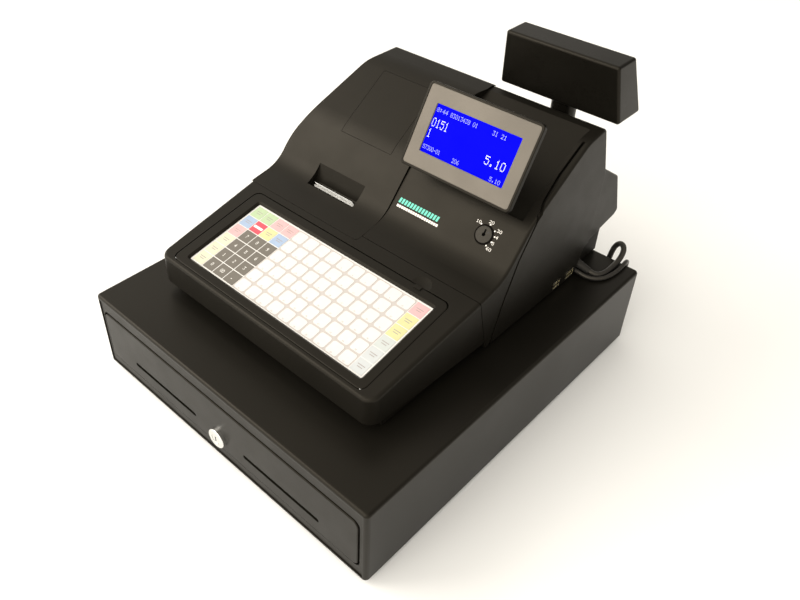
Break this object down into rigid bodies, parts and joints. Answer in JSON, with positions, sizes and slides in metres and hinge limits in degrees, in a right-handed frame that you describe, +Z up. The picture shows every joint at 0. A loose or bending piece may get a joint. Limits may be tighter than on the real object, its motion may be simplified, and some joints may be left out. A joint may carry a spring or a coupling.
{
  "type": "cash register",
  "caption": "Cash register on its cash drawer: sloping sheet keyboard, lift-up printer cover, tilting operator display, swivelling customer display, sliding till.",
  "frame": {"origin": "middle of the footprint without the mains cord, at table height", "axes": "+X to the operator's right, -Y towards the operator, +Z up"},
  "size_m": [0.41, 0.5646, 0.3578],
  "materials": {
    "steel_black": "fine textured satin powder coat",
    "case_black": "fine spark-eroded texture",
    "front_black": "fine texture, satin",
    "frame_black": "fine texture",
    "rubber": "matte",
    "zinc_steel": "zinc plated",
    "chrome": "bright plated",
    "lock_grey": "satin",
    "till_black": "smooth",
    "bezel_grey": "fine texture",
    "screen_blue": "clear cover over a lit blue screen",
    "window_smoke": "smoked",
    "key_legends": "printed film",
    "key_rubber": "matte",
    "board_green": "solder resist",
    "paper": "smooth thermal paper",
    "aluminium": "as extruded",
    "roller_rubber": "ground",
    "gear_white": "acetal",
    "cord_black": "satin pvc",
    "copper": "lacquered winding and core"
  },
  "bodies": {
    "register": {"cabinet_shell": "steel_black", "cabinet_bottom": "zinc_steel", "front_frame": "front_black", "drawer_feet": "rubber", "cabinet_rails": "zinc_steel", "release_solenoid": "zinc_steel", "push_spring": "zinc_steel", "cable_gland": "rubber", "base_pan": "frame_black", "register_feet": "rubber", "keyboard_case": "case_black", "keyboard_pins": "zinc_steel", "key_sheet": "key_legends", "key_mat": "key_rubber", "keyboard_board": "board_green", "main_case": "case_black", "rear_hood": "case_black", "case_screws": "zinc_steel", "post_collar": "case_black", "mode_lock_bezel": "case_black", "cover_hinge_pins": "zinc_steel", "printer_frame": "zinc_steel", "print_head": "aluminium", "printer_motor": "zinc_steel", "paper_bucket": "frame_black", "receipt_strip": "paper", "main_board": "board_green", "port_connectors": "chrome", "power_transformer": "copper", "display_bracket": "frame_black", "mains_relief": "cord_black", "mains_cord": "cord_black", "mains_coil": "cord_black", "mains_plug": "cord_black", "drawer_cable": "cord_black"},
    "drawer": {"drawer_front": "front_black", "drawer_tray": "zinc_steel", "till_insert": "till_black", "clip_rod": "zinc_steel", "drawer_lock_housing": "chrome"},
    "drawer_lock": {"drawer_lock_plug": "chrome"},
    "note_clip_1": {"note_clip_1": "lock_grey"},
    "note_clip_2": {"note_clip_2": "lock_grey"},
    "note_clip_3": {"note_clip_3": "lock_grey"},
    "note_clip_4": {"note_clip_4": "lock_grey"},
    "latch": {"latch_lever": "zinc_steel"},
    "key_frame": {"keyboard_frame": "frame_black"},
    "cover": {"printer_cover": "case_black", "cover_inset": "case_black", "tear_bar": "zinc_steel"},
    "platen": {"platen_roller": "roller_rubber"},
    "pinion": {"motor_pinion": "gear_white"},
    "roll": {"paper_roll": "paper"},
    "operator_display": {"display_shell": "frame_black", "display_bezel": "bezel_grey", "display_screen": "screen_blue"},
    "display_post": {"customer_post": "case_black"},
    "customer_display": {"customer_housing": "case_black", "customer_window": "window_smoke"},
    "mode_lock": {"mode_lock_plug": "lock_grey"}
  },
  "joints": [
    {"name": "drawer_slide", "type": "slide", "parent": "register", "child": "drawer", "axis": [0, -1, 0], "range_m": [0, 0.32]},
    {"name": "drawer_lock_turn", "type": "hinge", "parent": "drawer", "child": "drawer_lock", "pos_m": [0, -0.2335, 0.037], "axis": [0, -1, 0], "range_deg": [0, 90]},
    {"name": "note_clip_1_lift", "type": "hinge", "parent": "drawer", "child": "note_clip_1", "pos_m": [-0.1386, 0.1525, 0.071], "axis": [-1, 0, 0], "range_deg": [0, 20], "stiffness_Nm_per_rad": 0.03, "springref_deg": -34.38},
    {"name": "note_clip_2_lift", "type": "hinge", "parent": "drawer", "child": "note_clip_2", "pos_m": [-0.0462, 0.1525, 0.071], "axis": [-1, 0, 0], "range_deg": [0, 20], "stiffness_Nm_per_rad": 0.03, "springref_deg": -34.38},
    {"name": "note_clip_3_lift", "type": "hinge", "parent": "drawer", "child": "note_clip_3", "pos_m": [0.0462, 0.1525, 0.071], "axis": [-1, 0, 0], "range_deg": [0, 20], "stiffness_Nm_per_rad": 0.03, "springref_deg": -34.38},
    {"name": "note_clip_4_lift", "type": "hinge", "parent": "drawer", "child": "note_clip_4", "pos_m": [0.1386, 0.1525, 0.071], "axis": [-1, 0, 0], "range_deg": [0, 20], "stiffness_Nm_per_rad": 0.03, "springref_deg": -34.38},
    {"name": "latch_lever_turn", "type": "hinge", "parent": "register", "child": "latch", "pos_m": [0.012, 0.2065, 0.0345], "axis": [0, 0, 1], "range_deg": [-15, 0]},
    {"name": "key_frame_lift", "type": "hinge", "parent": "register", "child": "key_frame", "pos_m": [-0.00525, -0.16424, 0.15141], "axis": [1, 0, 0], "range_deg": [0, 60]},
    {"name": "printer_cover_lift", "type": "hinge", "parent": "register", "child": "cover", "pos_m": [-0.071, 0.1723, 0.2667], "axis": [-1, 0, 0], "range_deg": [0, 65]},
    {"name": "platen_spin", "type": "hinge", "parent": "register", "child": "platen", "pos_m": [-0.071, 0.0102, 0.1616], "axis": [1, 0, 0], "continuous": true},
    {"name": "motor_pinion_spin", "type": "hinge", "parent": "register", "child": "pinion", "pos_m": [-0.0285, 0.02123, 0.15234], "axis": [1, 0, 0], "continuous": true},
    {"name": "paper_roll_spin", "type": "hinge", "parent": "register", "child": "roll", "pos_m": [-0.071, 0.0965, 0.179], "axis": [1, 0, 0], "continuous": true},
    {"name": "operator_display_tilt", "type": "hinge", "parent": "register", "child": "operator_display", "pos_m": [0.0743, 0.0585, 0.253], "axis": [1, 0, 0], "range_deg": [-25, 10]},
    {"name": "display_post_lift", "type": "slide", "parent": "register", "child": "display_post", "axis": [0, 0, 1], "range_m": [0, 0.05]},
    {"name": "customer_display_swivel", "type": "hinge", "parent": "display_post", "child": "customer_display", "pos_m": [0.0919, 0.1865, 0.2945], "axis": [0, 0, 1], "range_deg": [-90, 90]},
    {"name": "mode_lock_turn", "type": "hinge", "parent": "register", "child": "mode_lock", "pos_m": [0.1142, 0.0301, 0.211], "axis": [0, -0.7593, 0.6508], "range_deg": [-90, 100]}
  ],
  "couplings": [
    {"joint": "motor_pinion_spin", "follows": "platen_spin", "ratio": -2}
  ]
}
